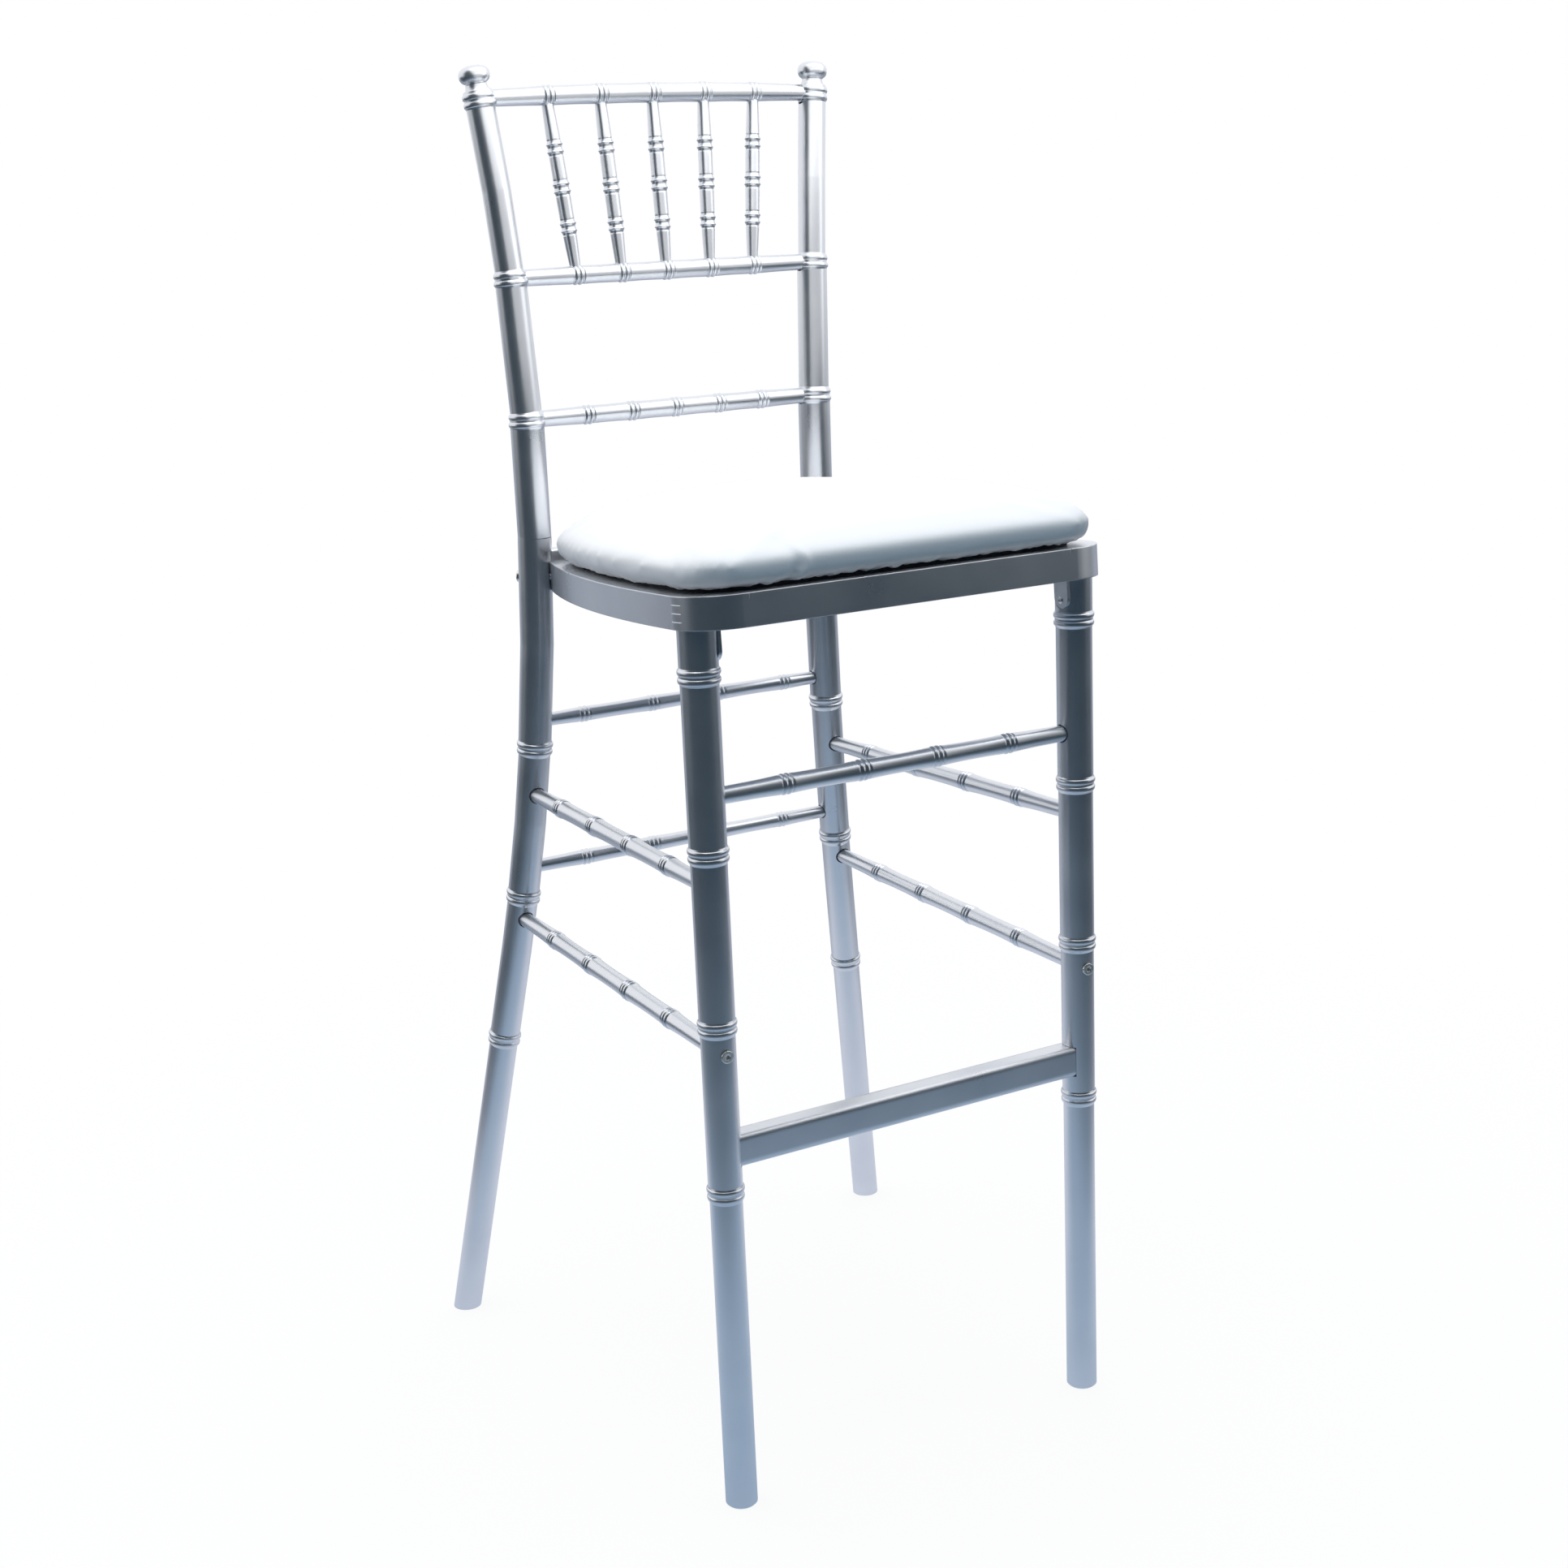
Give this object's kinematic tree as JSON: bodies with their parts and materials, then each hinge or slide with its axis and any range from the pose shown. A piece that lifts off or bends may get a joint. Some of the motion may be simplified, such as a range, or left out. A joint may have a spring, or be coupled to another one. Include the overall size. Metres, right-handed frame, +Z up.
{
  "type": "chiavari bar stool",
  "caption": "Tall chiavari bar stool of turned silver-painted wood with a spindle back, splayed bent rear posts, stretchers, a footrest bar and a lift-off white seat cushion.",
  "frame": {"origin": "on the floor, under the middle of the stool's overall box", "axes": "+Z up, the front of the stool faces -Y, +X to the right of someone facing the same way as the picture's front view"},
  "size_m": [0.4942, 0.5166, 1.1776],
  "materials": {
    "silver_painted_beech": "silver metallic paint on turned beech",
    "plywood": "plywood sprayed thinly with the same silver",
    "painted_steel": "pressed steel painted silver with the frame",
    "plated_steel": "yellow-zinc plated screw steel",
    "tape": "woven hook and loop tape",
    "black_board": "thin board covered in black backing cloth",
    "white_cover": "smooth white cover over foam, gathered at the hem"
  },
  "bodies": {
    "stool": {"left_front_leg": "silver_painted_beech", "right_front_leg": "silver_painted_beech", "left_back_post": "silver_painted_beech", "right_back_post": "silver_painted_beech", "front_stretcher": "silver_painted_beech", "upper_rear_stretcher": "silver_painted_beech", "lower_rear_stretcher": "silver_painted_beech", "left_upper_side_stretcher": "silver_painted_beech", "right_upper_side_stretcher": "silver_painted_beech", "left_lower_side_stretcher": "silver_painted_beech", "right_lower_side_stretcher": "silver_painted_beech", "footrest_bar": "silver_painted_beech", "seat_front_rail": "silver_painted_beech", "left_seat_rail": "silver_painted_beech", "right_seat_rail": "silver_painted_beech", "seat_rear_rail": "silver_painted_beech", "crest_rail": "silver_painted_beech", "middle_back_rail": "silver_painted_beech", "lower_back_rail": "silver_painted_beech", "spindle_1": "silver_painted_beech", "spindle_2": "silver_painted_beech", "spindle_3": "silver_painted_beech", "spindle_4": "silver_painted_beech", "spindle_5": "silver_painted_beech", "seat_panel": "plywood", "left_leg_bracket": "painted_steel", "right_leg_bracket": "painted_steel", "stretcher_screws": "plated_steel", "seat_screws": "plated_steel", "loop_tapes": "tape"},
    "cushion": {"cushion": "white_cover", "cushion_board": "black_board", "hook_tapes": "tape"}
  },
  "joints": [
    {"name": "cushion_lift", "type": "slide", "parent": "stool", "child": "cushion", "axis": [0, 0, 1], "range_m": [0, 0.12]}
  ]
}
